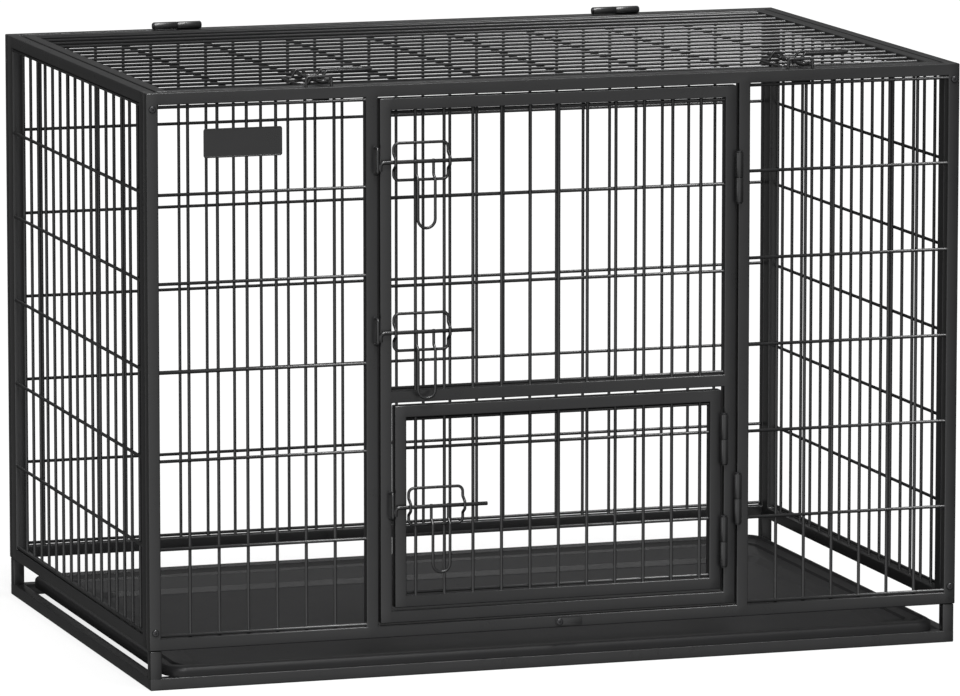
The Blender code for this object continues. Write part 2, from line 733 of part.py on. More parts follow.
def keeper_mesh():
    """The staple that the bolt is shot through, its two legs welded to a face."""
    top, bottom, height = KEEPER_TOP, -KEEPER_BOTTOM, KEEPER_HEIGHT
    points = [
        (0, bottom, GAP),
        *bend((0, bottom, height), (0, 0, 1), (0, 1, 0), KEEPER_BEND, 3),
        *bend((0, top, height), (0, 1, 0), (0, 0, -1), KEEPER_BEND, 3),
        (0, top, GAP),
    ]
    return bent_wire_mesh("keeper", points, LATCH_WIRE)


def add_latch(name, frame, carrier, keeper_carrier):
    """A slide latch. The bolt runs along the frame's x, its tip towards -x and its handle towards -y."""
    add_piece(f"{name}_guide", guide_mesh(), frame, carrier, "latch")
    drawn = frame @ Matrix.Translation((BOLT_DRAWN, 0, BOLT_HEIGHT))
    bolt = add_piece(f"{name}_bolt", bolt_mesh(), drawn, carrier, "latch")
    combine(bolt, "UNION", handle_mesh())
    keeper_frame = frame @ Matrix.Translation((-KEEPER_DISTANCE, 0, 0))
    add_piece(f"{name}_keeper", keeper_mesh(), keeper_frame, keeper_carrier, "latch")


def add_latches():
    for side, level in DOOR_LATCH_LEVELS.items():
        frame = FRONT @ Matrix.Translation((TUBE - DOOR_HALF + GUIDE_CENTRE, level, 0))
        add_latch(f"door_latch_{side}", frame, DOOR_CARRIER, ORIGIN)
    frame = FRONT @ Matrix.Translation((TUBE - FEED_HALF + GUIDE_CENTRE, FEED_MIDDLE, 0))
    add_latch("feeding_latch", frame, FEED_CARRIER, DOOR_CARRIER)
    for side, place in LID_LATCH_PLACES.items():
        frame = TOP @ Matrix.Translation((place, TUBE - LID_HALF_DEPTH + GUIDE_CENTRE, 0)) @ QUARTER_TURN
        add_latch(f"lid_latch_{side}", frame, LID_CARRIER, ORIGIN)


def tray_profile(side):
    """How the tray's upper side runs in from an edge: (inset, level) from the skirt's foot to the floor."""
    border = TRAY_RIM - TRAY_RIB_RISE
    start, end = TRAY_RIBS[side]
    return [
        (0, TUBE + GAP),
        *arc((TRAY_LIP_ROUND, TRAY_RIM - TRAY_LIP_ROUND), TRAY_LIP_ROUND, 180, 90, 3),
        (TRAY_LIP_ROUND + TRAY_RIB_RISE, border),
        (start - TRAY_RIB_RISE, border),
        (start, TRAY_RIM),
        (end, TRAY_RIM),
        (end + TRAY_RIB_RISE, border),
        (TRAY_BORDERS[side], border),
        (TRAY_BORDERS[side] + TRAY_SLOPE, TRAY_FLOOR),
    ]


def add_tray():
    """The tray: rings from the skirt's foot in to the floor, thickened downwards."""
    half_width = HALF_WIDTH - BASE_INSET - TUBE - TRAY_SIDE_GAP
    front, back = TRAY_FRONT_INSET - HALF_DEPTH, HALF_DEPTH - TRAY_BACK_INSET
    middle, half_depth = (front + back) / 2, (back - front) / 2
    edit = bmesh.new()
    rings = []
    for (inset, level), (near, _), (far, _) in zip(*map(tray_profile, ("side", "front", "back"))):
        radius = max(TRAY_CORNER - inset, TRAY_WALL)
        x = half_width - inset
        ring = rounded_rectangle(-x, near - half_depth, x, half_depth - far, radius, 3)
        rings.append([edit.verts.new((*point, level)) for point in ring])
    count = len(rings[0])
    for outer, inner in zip(rings, rings[1:]):
        for n in range(count):
            after = (n + 1) % count
            edit.faces.new((outer[n], outer[after], inner[after], inner[n]))
    edit.faces.new(rings[-1])
    mesh = bpy.data.meshes.new("tray")
    edit.to_mesh(mesh)
    edit.free()
    tray = add_piece("tray", mesh, Matrix.Translation((0, middle, 0)), ORIGIN, "tray")
    wall = tray.modifiers.new("wall", "SOLIDIFY")
    wall.thickness = TRAY_WALL
    wall.offset = -1
    wall.use_even_offset = True


def screw_mesh(name, reach):
    """A screw along z: its head on z = 0 and its shank reaching down."""
    profile = [
        (0, SCREW_HEAD),
        (SCREW_HEAD_RADIUS * 0.7, SCREW_HEAD),
        (SCREW_HEAD_RADIUS, SCREW_HEAD / 2),
        (SCREW_HEAD_RADIUS, 0),
        (SCREW_RADIUS, 0),
        (SCREW_RADIUS, -reach),
        (0, -reach),
    ]
    return turned_mesh(name, profile, ROUND_SIDES)


def add_clip():
    """The clip in front of the tray, turned aside, and the screw that it turns on."""
    half = CLIP_WIDTH / 2
    outline = [*arc((0, 0), half, 90, 270, 8), (CLIP_LENGTH, -half), (CLIP_LENGTH, half)]
    hole = arc((0, 0), SCREW_HOLE_RADIUS, 0, 360 - 360 / ROUND_SIDES, ROUND_SIDES - 1)
    mesh = flat_mesh("clip", [outline, hole], CLIP_THICKNESS, GAP + CLIP_THICKNESS)
    frame = FRONT @ Matrix.Translation((0, CLIP_LEVEL, 0))
    add_piece("tray_clip", mesh, frame, ORIGIN, "hinge")
    head = CLIP_THICKNESS + 2 * GAP
    screw_frame = frame @ Matrix.Translation((0, 0, head))
    add_piece("clip_screw", screw_mesh("clip_screw", head + SCREW_BITE), screw_frame, ORIGIN, "screw")


def add_corner_screws():
    for side, face in (("front", FRONT), ("back", BACK)):
        for number, (x, y) in enumerate(corner_screw_places(), 1):
            frame = face @ Matrix.Translation((x, y, GAP))
            mesh = screw_mesh("corner_screw", TUBE + 2 * GAP + SCREW_BITE)
            add_piece(f"corner_screw_{side}_{number}", mesh, frame, ORIGIN, "screw")


def add_plate():
    """The bare plate on the upright wires of the front's left bay, above the highest level wire."""
    half_width, half_height = PLATE_WIDTH / 2, PLATE_HEIGHT / 2
    outline = rounded_rectangle(-half_width, -half_height, half_width, half_height, PLATE_CORNER, 3)
    face = PLATE_THICKNESS + GAP + WIRE / 2 - INNER_LAYER
    mesh = flat_mesh("plate", [outline], PLATE_THICKNESS, face)
    left, right = front_bays()[0]
    across = (left + right) / 2 + PLATE_SHIFT
    level = (max(fixed_levels()) + OPENING_TOP) / 2 + PLATE_RAISED
    add_piece("front_plate", mesh, FRONT @ Matrix.Translation((across, level, 0)), ORIGIN, "plate")


ORIGIN = add_carrier("crate", (0, ORIGIN_SHIFT, 0), None)
LID_CARRIER = add_carrier("lid_axis", (0, LID_AXIS, CRATE_HEIGHT + AXIS_HEIGHT), ORIGIN)
DOOR_CARRIER = add_carrier("door_axis", (DOOR_AXIS, -HALF_DEPTH - AXIS_HEIGHT, DOOR_BOTTOM), ORIGIN)
FEED_CARRIER = add_carrier(
    "feeding_door_axis", (FEED_AXIS, -HALF_DEPTH - AXIS_HEIGHT, FEED_BOTTOM), DOOR_CARRIER
)

add_base()
add_front_panel()
add_back_panel()
add_side_panel("left_panel", LEFT, -1)
add_side_panel("right_panel", RIGHT, 1)
add_lid()
add_door()
add_feeding_door()
add_hinges()
add_latches()
add_tray()
add_clip()
add_corner_screws()
add_plate()
bpy.context.view_layer.update()
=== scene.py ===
"""Finish for the pet crate: rounded tube, welded wire, hinges, latches, tray, screws and a plain studio.

Everything is in metres in the crate's own frame: X to the right, Y to the back and Z up, the floor at Z = 0.
A flat piece is made lying down, x across it, y up it and its outer face upwards on z = 0, and is then stood
in its place.
"""

import json
import math

import bmesh
import bpy
from bpy.props import FloatProperty, FloatVectorProperty, IntProperty, PointerProperty
from mathutils import Matrix, Vector

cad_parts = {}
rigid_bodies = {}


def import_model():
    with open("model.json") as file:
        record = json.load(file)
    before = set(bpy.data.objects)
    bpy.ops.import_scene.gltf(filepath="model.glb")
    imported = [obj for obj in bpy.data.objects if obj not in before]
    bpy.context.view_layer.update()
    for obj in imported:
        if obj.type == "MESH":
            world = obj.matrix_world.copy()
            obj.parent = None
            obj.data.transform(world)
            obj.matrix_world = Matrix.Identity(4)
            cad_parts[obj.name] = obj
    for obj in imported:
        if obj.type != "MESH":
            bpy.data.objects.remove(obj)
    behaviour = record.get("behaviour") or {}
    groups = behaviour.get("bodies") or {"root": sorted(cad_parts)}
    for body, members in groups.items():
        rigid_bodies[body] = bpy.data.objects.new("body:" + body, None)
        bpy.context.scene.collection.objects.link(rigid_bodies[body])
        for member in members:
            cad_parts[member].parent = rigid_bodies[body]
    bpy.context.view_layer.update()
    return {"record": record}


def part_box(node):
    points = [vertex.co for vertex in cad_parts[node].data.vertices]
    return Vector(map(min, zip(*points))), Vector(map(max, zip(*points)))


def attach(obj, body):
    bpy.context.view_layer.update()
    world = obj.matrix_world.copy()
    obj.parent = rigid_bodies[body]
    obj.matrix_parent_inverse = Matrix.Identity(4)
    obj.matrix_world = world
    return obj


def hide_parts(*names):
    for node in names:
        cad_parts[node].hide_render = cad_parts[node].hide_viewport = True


bl_info = {
    "name": "Pet Crate Finish",
    "version": (1, 0, 0),
    "blender": (4, 5, 0),
    "location": "3D View > Sidebar > Crate",
    "description": "Builds the finished pieces of a welded pet crate round its frame",
    "category": "Object",
}

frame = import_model()
BODY_OF = {node: body for body, nodes in frame["record"]["behaviour"]["bodies"].items() for node in nodes}

# Faces that the pieces are placed from
FRONT_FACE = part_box("front_panel")[0][1]
BACK_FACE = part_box("back_panel")[1][1]
SIDE_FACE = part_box("front_panel")[1][0]
TOP_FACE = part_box("front_panel")[1][2]
BASE_TOP = 0.015

# Clearances between the frames
DOOR_GAP = 0.003
FEED_GAP = 0.004
SEAT_GAP = 0.0003

# Places closer than this are one place
CLOSE = 0.00001

# How far a wire flares into a weld, and over what length
WELD_FLARE = 1.35
WELD_LENGTH = 0.0015

# The share of a cross pitch that stays free at both ends of a wall
CROSS_END_SHARE = 0.75

# Edges that turn by less are smooth, a bend turns by this much in a step, and a bar is laid along y by this
SMOOTH_BELOW = math.radians(38)
BEND_STEP = math.radians(15)
ALONG_Y = math.radians(90)

# What the properties of one kind have in common
LENGTH = {"unit": "LENGTH", "precision": 5}
COLOUR = {"subtype": "COLOR", "min": 0, "max": 1}
SHARE = {"subtype": "FACTOR", "min": 0, "max": 1}


class CrateSizes(bpy.types.PropertyGroup):
    tube: FloatProperty(name="Tube", description="Side of the square tube", default=0.015, **LENGTH)
    tube_round: FloatProperty(name="Tube edge", description="Radius of its edges", default=0.0014, **LENGTH)
    side_stile: FloatProperty(
        name="Side stile", description="Width of the sides' upright tubes", default=0.020, **LENGTH
    )
    wire: FloatProperty(name="Wire", description="Diameter of the walls' wire", default=0.0042, **LENGTH)
    wire_depth: FloatProperty(
        name="Wire depth", description="Depth of the outer wires' axes", default=0.0035, **LENGTH
    )
    weld_sink: FloatProperty(
        name="Weld sink", description="How far crossing wires sink together", default=0.0005, **LENGTH
    )
    wire_pitch: FloatProperty(
        name="Wire pitch", description="Distance between close wires", default=0.03765, **LENGTH
    )
    cross_pitch: FloatProperty(
        name="Cross pitch", description="Distance between wide wires", default=0.11075, **LENGTH
    )
    edge_wire: FloatProperty(
        name="Edge wire", description="Distance of the last wire from the tube", default=0.003, **LENGTH
    )
    wire_sides: IntProperty(name="Wire sides", description="Facets round a wire", default=12, min=6, max=32)
    latch_wire: FloatProperty(
        name="Latch wire", description="Diameter of the latch wire", default=0.0038, **LENGTH
    )
    bolt: FloatProperty(name="Bolt", description="Diameter of the latch bolt", default=0.005, **LENGTH)
    bolt_height: FloatProperty(
        name="Bolt height", description="Height of the bolt's axis over the face", default=0.005, **LENGTH
    )
    bolt_drawn: FloatProperty(name="Bolt drawn", description="How far it is drawn", default=0.017, **LENGTH)
    barrel: FloatProperty(name="Hinge barrel", description="Radius of a barrel", default=0.005, **LENGTH)


class CrateFinish(bpy.types.PropertyGroup):
    coat_colour: FloatVectorProperty(
        name="Coat", description="Colour of the powder coat", default=(0.0150, 0.0151, 0.0155), **COLOUR
    )
    coat_roughness: FloatProperty(
        name="Coat roughness", description="Roughness of the powder coat", default=0.27, **SHARE
    )
    tray_colour: FloatVectorProperty(
        name="Tray", description="Colour of the moulded tray", default=(0.0145, 0.0145, 0.0149), **COLOUR
    )
    tray_roughness: FloatProperty(
        name="Tray roughness", description="Roughness of the tray", default=0.40, **SHARE
    )
    screw_colour: FloatVectorProperty(
        name="Screws", description="Colour of the blackened steel", default=(0.050, 0.050, 0.052), **COLOUR
    )


class CrateStage(bpy.types.PropertyGroup):
    floor_colour: FloatVectorProperty(
        name="Floor", description="Colour of the floor", default=(0.16, 0.16, 0.16), **COLOUR
    )
    floor_glow: FloatProperty(
        name="Floor glow", description="Strength of the lit floor's own light", default=0.82, min=0
    )
    sky: FloatProperty(name="Sky", description="Strength of the surrounding light", default=0.10, min=0)
    front: FloatProperty(name="Front", description="Strength of the screen in front", default=0.95, min=0)
    top: FloatProperty(name="Top", description="Strength of the high back screen", default=0.9, min=0)
    left: FloatProperty(name="Left", description="Strength of the screen at the left", default=1.75, min=0)
    overhead: FloatProperty(name="Overhead", description="Strength of the light above", default=2.3, min=0)
    key: FloatProperty(name="Key", description="Strength of the light in front", default=2.2, min=0)


# Places in the crate


def panel_place(origin, across, up):
    """Where a flat piece stands: its origin, its x across and its y up."""
    across, up = Vector(across), Vector(up)
    place = Matrix((across, up, across.cross(up))).transposed().to_4x4()
    place.translation = origin
    return place


FRONT = panel_place((0, FRONT_FACE, 0), (1, 0, 0), (0, 0, 1))
BACK = panel_place((0, BACK_FACE, 0), (-1, 0, 0), (0, 0, 1))
LEFT = panel_place((-SIDE_FACE, 0, 0), (0, -1, 0), (0, 0, 1))
RIGHT = panel_place((SIDE_FACE, 0, 0), (0, 1, 0), (0, 0, 1))
TOP = panel_place((0, 0, TOP_FACE), (1, 0, 0), (0, 1, 0))
BASE = panel_place((0, 0, BASE_TOP), (1, 0, 0), (0, 1, 0))
QUARTER_TURN = Matrix.Rotation(math.radians(90), 4, "Z")
HALF_TURN = Matrix.Rotation(math.radians(180), 4, "Z")


def corners_of(node, place):
    """The corners of a node's box as seen from its outer side."""
    return [place.inverted() @ Vector(corner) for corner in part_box(node)]


def outline_of(node, place):
    """A node's (left, bottom, right, top) as seen from its outer side."""
    xs, ys, _ = zip(*corners_of(node, place))
    return min(xs), min(ys), max(xs), max(ys)


def heights_of(node, place):
    """How low and how high a node stands over the face behind it."""
    heights = [corner.z for corner in corners_of(node, place)]
    return min(heights), max(heights)


def centre_of(outline):
    left, bottom, right, top = outline
    return Vector(((left + right) / 2, (bottom + top) / 2, 0))


def middle_of(node, place):
    return centre_of(outline_of(node, place))


def inset_of(outline, amount):
    left, bottom, right, top = outline
    return left + amount, bottom + amount, right - amount, top - amount


def fitting_place(node, face):
    """Where a hinge or a latch stands round a node, turned by a quarter on the lid."""
    place = face @ Matrix.Translation(middle_of(node, face))
    return place @ QUARTER_TURN if face is TOP else place


# Hand modelling in edit mode


def start_piece(name):
    """An empty piece, open in edit mode, with nothing else selected."""
    bpy.ops.object.select_all(action="DESELECT")
    piece = bpy.data.objects.new(name, bpy.data.meshes.new(name))
    bpy.context.scene.collection.objects.link(piece)
    bpy.context.view_layer.objects.active = piece
    piece.select_set(True)
    bpy.ops.object.mode_set(mode="EDIT")
    return piece


def select_where(kind, wanted):
    """Select only the faces ("FACE") or the corners ("VERT") of the open piece that pass a test."""
    bpy.ops.mesh.select_mode(type=kind)
    bpy.ops.mesh.select_all(action="DESELECT")
    mesh = bpy.context.object.data
    shape = bmesh.from_edit_mesh(mesh)
    for part in shape.faces if kind == "FACE" else shape.verts:
        if wanted(part):
            part.select_set(True)
    bmesh.update_edit_mesh(mesh)


def add_block(low, high, edge, segments=3):
    """A block between two corners, its edges rounded."""
    low, high = Vector(low), Vector(high)
    middle = (low + high) / 2
    bpy.ops.mesh.primitive_cube_add(size=1, location=middle)
    bpy.ops.transform.resize(value=high - low, center_override=middle)
    bpy.ops.mesh.bevel(offset=edge, segments=segments, affect="EDGES")
    bpy.ops.mesh.select_all(action="DESELECT")


def add_sheet(outline, height=0):
    """A flat rectangle at a height, left selected."""
    left, bottom, right, top = outline
    middle = centre_of(outline) + Vector((0, 0, height))
    bpy.ops.mesh.primitive_plane_add(size=1, location=middle)
    bpy.ops.transform.resize(value=(right - left, top - bottom, 1), center_override=middle)


def thicken_sheet(thickness):
    """Pull the whole sheet to a thickness, upwards, or downwards where it is negative."""
    bpy.ops.mesh.select_mode(type="FACE")
    bpy.ops.mesh.select_all(action="SELECT")
    bpy.ops.mesh.extrude_region_move(TRANSFORM_OT_translate={"value": (0, 0, thickness)})


def add_bar(place, radius, length, sides, turn=0):
    """A cylinder round its middle, upright or turned over about x."""
    bpy.ops.mesh.primitive_cylinder_add(
        vertices=sides, radius=radius, depth=length, location=place, rotation=(turn, 0, 0)
    )


def start_wire(place, heading, diameter, sides):
    """The disc that a wire is pulled out of."""
    turn = heading.to_track_quat("Z", "Y").to_euler()
    bpy.ops.mesh.select_mode(type="FACE")
    bpy.ops.mesh.primitive_circle_add(
        vertices=sides, radius=diameter / 2, fill_type="NGON", location=place, rotation=turn
    )


def pull_wire(run, scale=1.0, end=(0, 0, 0)):
    """Pull the wire's end on by a run, then scale it about where it ends."""
    bpy.ops.mesh.extrude_region_move(TRANSFORM_OT_translate={"value": run})
    if scale != 1.0:
        bpy.ops.transform.resize(value=(scale, scale, scale), center_override=end)


def draw_bent_wire(corners, diameter, radii, sides=16):
    """A round wire through its corners, each bent at a radius of its own."""
    corners = [Vector(corner) for corner in corners]
    place, heading = corners[0], (corners[1] - corners[0]).normalized()
    start_wire(place, heading, diameter, sides)
    for corner, after, radius in zip(corners[1:-1], corners[2:], radii):
        leaving = (after - corner).normalized()
        angle = heading.angle(leaving)
        cut = radius * math.tan(angle / 2)
        start = corner - heading * cut
        if (start - place).length > CLOSE:
            pull_wire(start - place)
        axis = heading.cross(leaving).normalized()
        centre = start + axis.cross(heading) * radius
        bpy.ops.mesh.spin(steps=max(2, round(angle / BEND_STEP)), angle=-angle, center=centre, axis=axis)
        place, heading = corner + leaving * cut, leaving
    pull_wire(corners[-1] - place)


def draw_welded_wire(start, end, diameter, sides):
    """A straight round wire that flares into the welds at its two ends. It is left selected."""
    start, end = Vector(start), Vector(end)
    heading = (end - start).normalized()
    foot = heading * WELD_LENGTH
    start_wire(start, heading, diameter * WELD_FLARE, sides)
    pull_wire(foot, 1 / WELD_FLARE, start + foot)
    pull_wire(end - start - 2 * foot)
    pull_wire(foot, WELD_FLARE, end)
    bpy.ops.mesh.select_linked()


def repeat(places, direction):
    """Copy what is selected from the first place to each of the others along a direction."""
    for before, after in zip(places, places[1:]):
        bpy.ops.mesh.duplicate()
        bpy.ops.transform.translate(value=Vector(direction) * (after - before))
    bpy.ops.mesh.select_all(action="DESELECT")


def apply_bevel(piece, width, segments, angle=math.radians(40)):
    """Round the piece's sharp edges."""
    bpy.ops.object.mode_set(mode="OBJECT")
    bevel = piece.modifiers.new("Bevel", "BEVEL")
    bevel.width = width
    bevel.segments = segments
    bevel.limit_method = "ANGLE"
    bevel.angle_limit = angle
    bpy.ops.object.modifier_apply(modifier=bevel.name)
    bpy.ops.object.mode_set(mode="EDIT")


def turn_outwards():
    bpy.ops.mesh.select_all(action="SELECT")
    bpy.ops.mesh.normals_make_consistent(inside=False)
    bpy.ops.mesh.select_all(action="DESELECT")


def close_piece(piece):
    """Leave edit mode with the faces outwards and the round ones smooth."""
    turn_outwards()
    bpy.ops.object.mode_set(mode="OBJECT")
    bpy.ops.object.shade_smooth_by_angle(angle=SMOOTH_BELOW)
    return piece


def fit_piece(piece, place, node, material):
    """Stand a closed piece in its place, in the stead of its node."""
    piece.data.transform(place)
    piece.data.materials.clear()
    piece.data.materials.append(material)
    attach(piece, BODY_OF[node])
    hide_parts(node)


def fit_copy(master, place, node, material):
    """Fit a copy of a master piece, with a mesh of its own."""
    name = f"{node}_finished"
    piece = bpy.data.objects.new(name, master.data.copy())
    piece.data.name = name
    bpy.context.scene.collection.objects.link(piece)
    fit_piece(piece, place, node, material)


def put_away(*masters):
    for master in masters:
        bpy.data.meshes.remove(master.data)


# Materials


class Socket:
    """An output of a node that takes part in sums."""

    def __init__(self, nodes, output):
        self.nodes = nodes
        self.output = output

    def sum(self, operation, first, second):
        return self.nodes.node("ShaderNodeMath", {"operation": operation}, {0: first, 1: second})

    def __add__(self, other):
        return self.sum("ADD", self, other)

    __radd__ = __add__

    def __sub__(self, other):
        return self.sum("SUBTRACT", self, other)

    def __rsub__(self, other):
        return self.sum("SUBTRACT", other, self)

    def __mul__(self, other):
        return self.sum("MULTIPLY", self, other)

    __rmul__ = __mul__


class Nodes:
    """A node tree that is written as sums of sockets."""

    def __init__(self, tree):
        self.tree = tree

    def node(self, kind, settings, inputs, output=0):
        """A node with its settings, then its sockets' values or links, as one of its outputs."""
        made = self.tree.nodes.new(kind)
        for name, value in settings.items():
            setattr(made, name, value)
        for name, value in inputs.items():
            self.feed(made.inputs[name], value)
        return Socket(self, made.outputs[output])

    def feed(self, socket, value):
        if isinstance(value, Socket):
            self.tree.links.new(value.output, socket)
        else:
            socket.default_value = value

    def step_between(self, value, low, high):
        inputs = {"Value": value, "From Min": low, "From Max": high}
        return self.node("ShaderNodeMapRange", {"interpolation_type": "SMOOTHSTEP"}, inputs)


class Shader(Nodes):
    """A Principled material and the nodes that feed it."""

    def __init__(self, name):
        self.material = bpy.data.materials.new(name)
        self.material.use_nodes = True
        super().__init__(self.material.node_tree)
        self.surface = self.tree.nodes["Principled BSDF"]
        self.place = self.node("ShaderNodeTexCoord", {}, {}, "Object")

    def set(self, **values):
        """Give the surface's sockets, by name with _ for a space, a value or a link."""
        for name, value in values.items():
            self.feed(self.surface.inputs[name.replace("_", " ")], value)

    def noise(self, scale, detail=2.0, roughness=0.5):
        inputs = {"Vector": self.place, "Scale": scale, "Detail": detail, "Roughness": roughness}
        return self.node("ShaderNodeTexNoise", {}, inputs)

    def blend(self, share, first, second):
        """A colour between two."""
        inputs = {0: share, 6: (*first, 1), 7: (*second, 1)}
        return self.node("ShaderNodeMix", {"data_type": "RGBA"}, inputs, 2)

    def bump(self, height, distance, strength=1.0):
        inputs = {"Height": height, "Distance": distance, "Strength": strength}
        return self.node("ShaderNodeBump", {}, inputs)


def shade(colour, factor):
    return tuple(part * factor for part in colour)


def powder_coat(name, tint=1.0, worn=0.0):
    """Satin black powder coat: fine orange peel, cloudy gloss and, where worn, smoother patches."""
    finish = bpy.context.scene.crate_finish
    colour = shade(finish.coat_colour, tint)
    shader = Shader(name)
    cloud = shader.noise(22, 3)
    peel = shader.noise(850, 2)
    speck = shader.noise(2600, 1)
    shader.set(
        Base_Color=shader.blend(cloud, shade(colour, 0.82), shade(colour, 1.2)),
        Roughness=finish.coat_roughness - 0.06 + 0.12 * cloud + 0.06 * speck - 0.12 * worn * cloud,
        Normal=shader.bump(peel + 0.35 * speck, 0.00006, 0.6),
        Specular_IOR_Level=0.5,
    )
    return shader.material


def moulded_plastic(name):
    """Black moulded plastic with a fine leather-like grain and faint scuffs."""
    finish = bpy.context.scene.crate_finish
    shader = Shader(name)
    cloud = shader.noise(9, 4)
    grain = shader.noise(1300, 3, 0.6)
    scuff = shader.step_between(shader.noise(60, 5, 0.7), 0.62, 0.72)
    shader.set(
        Base_Color=shader.blend(cloud, shade(finish.tray_colour, 0.85), shade(finish.tray_colour, 1.15)),
        Roughness=finish.tray_roughness - 0.05 + 0.1 * cloud + 0.08 * scuff,
        Normal=shader.bump(grain, 0.00012, 0.5),
        Specular_IOR_Level=0.15,
    )
    return shader.material


def blackened_steel(name):
    """Blackened steel with a cloudy gloss."""
    finish = bpy.context.scene.crate_finish
    shader = Shader(name)
    cloud = shader.noise(400, 3)
    shader.set(
        Base_Color=shader.blend(cloud, shade(finish.screw_colour, 0.8), shade(finish.screw_colour, 1.25)),
        Roughness=0.3 + 0.14 * cloud,
        Metallic=0.8,
        Normal=shader.bump(shader.noise(2200, 2), 0.00004, 0.5),
    )
    return shader.material


def material_named(name, make, **options):
    """The material of that name, made the first time that it is asked for."""
    return bpy.data.materials.get(name) or make(name, **options)


def latch_coat():
    return material_named("latch powder coat", powder_coat, tint=1.15, worn=0.6)


def hinge_coat():
    return material_named("hinge powder coat", powder_coat, tint=0.95, worn=0.3)


# Tube frames and mesh


def start_frame(node, place, openings):
    """A flat frame of tube: a sheet with its openings cut out, pulled to the tube's depth and rounded."""
    sizes = bpy.context.scene.crate_sizes
    piece = start_piece(f"{node}_finished")
    add_sheet(outline_of(node, place))
    cuts = {(x, 0) for opening in openings for x in opening[::2]}
    cuts |= {(y, 1) for opening in openings for y in opening[1::2]}
    for place, axis in sorted(cuts):
        across = Vector((1, 0, 0)) if axis == 0 else Vector((0, 1, 0))
        bpy.ops.mesh.select_all(action="SELECT")
        bpy.ops.mesh.bisect(plane_co=across * place, plane_no=across)

    def is_open(face):
        x, y, _ = face.calc_center_median()
        return any(o[0] < x < o[2] and o[1] < y < o[3] for o in openings)

    select_where("FACE", is_open)
    bpy.ops.mesh.delete(type="FACE")
    thicken_sheet(-sizes.tube)
    turn_outwards()
    apply_bevel(piece, sizes.tube_round, 3)
    return piece


def fit_frame(piece, place, node):
    fit_piece(close_piece(piece), place, node, material_named("tube powder coat", powder_coat))


def places_within(half, pitch, centred):
    """Places at one pitch on both sides of a middle, one on it where centred, clear of both ends."""
    wire = bpy.context.scene.crate_sizes.wire
    first = 0 if centred else pitch / 2
    count = int((half - wire - first) / pitch) + 1
    right = [first + pitch * n for n in range(count)]
    return sorted({-place for place in right} | set(right))


def edge_places(low, high):
    edge = bpy.context.scene.crate_sizes.edge_wire
    return [low + edge, high - edge]


def lay_wires(places, low, high, upright, inner, diameter):
    """Wires between two tubes at the given places, each flared into its welds."""
    sizes = bpy.context.scene.crate_sizes
    depth = -sizes.wire_depth - (diameter - sizes.weld_sink if inner else 0)
    places = sorted(places)
    low, high = low - sizes.weld_sink, high + sizes.weld_sink
    if upright:
        ends = (places[0], low, depth), (places[0], high, depth)
    else:
        ends = (low, places[0], depth), (high, places[0], depth)
    draw_welded_wire(*ends, diameter, sizes.wire_sides)
    repeat(places, (1, 0, 0) if upright else (0, 1, 0))


def lay_fixed_mesh(opening, centred=False):
    """Mesh of a fixed bay: level wires outside, upright wires behind them."""
    sizes = bpy.context.scene.crate_sizes
    left, bottom, right, top = opening
    middle = centre_of(opening)
    uprights = [middle.x + x for x in places_within(right - middle.x, sizes.wire_pitch, centred)]
    reach = top - middle.y + sizes.wire - CROSS_END_SHARE * sizes.cross_pitch
    levels = [middle.y + y for y in places_within(reach, sizes.cross_pitch, True)]
    lay_wires(levels + edge_places(bottom, top), left, right, False, False, sizes.wire)
    lay_wires(uprights, bottom, top, True, True, sizes.wire)


def lay_door_mesh(opening, drop):
    """Mesh of a door: upright wires in front, two level wires and the edge wires behind them."""
    sizes = bpy.context.scene.crate_sizes
    left, bottom, right, top = opening
    uprights = places_within(right, sizes.wire_pitch, True)
    levels = [top - drop, top - drop - sizes.cross_pitch, *edge_places(bottom, top)]
    lay_wires(uprights, bottom, top, True, False, sizes.wire)
    lay_wires(levels, left, right, False, True, sizes.wire)


def fixed_opening(node, place, stile):
    """The opening of a four-sided frame with stiles of a given width."""
    tube = bpy.context.scene.crate_sizes.tube
    left, bottom, right, top = outline_of(node, place)
    return left + stile, bottom + tube, right - stile, top - tube


class PieceOperator:
    bl_options = {"REGISTER", "UNDO"}


class CRATE_OT_base(PieceOperator, bpy.types.Operator):
    """Weld the base ring, its cross members and its legs"""

    bl_idname = "crate.base"
    bl_label = "Base"

    leg_sink: FloatProperty(
        name="Leg sink", description="How far a leg starts inside the ring", default=0.002, **LENGTH
    )

    def execute(self, context):
        sizes = context.scene.crate_sizes
        outline = outline_of("base_frame", BASE)
        inner = inset_of(outline, sizes.tube)
        bay = (inner[2] - inner[0] - 2 * sizes.tube) / 3
        bays = [inner[0] + n * (bay + sizes.tube) for n in range(3)]
        openings = [(left, inner[1], left + bay, inner[3]) for left in bays]
        piece = start_frame("base_frame", BASE, openings)
        for x in (outline[0], inner[2]):
            for y in (outline[1], inner[3]):
                self.add_leg(x, y, sizes)
        fit_frame(piece, BASE, "base_frame")
        return {"FINISHED"}

    def add_leg(self, x, y, sizes):
        """A leg on the ring, a hair slimmer so that no faces coincide."""
        shy, top = SEAT_GAP / 4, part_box("base_frame")[1][2] - BASE_TOP
        high = x + sizes.tube - shy, y + sizes.tube - shy, top
        add_block((x + shy, y + shy, -self.leg_sink), high, sizes.tube_round)


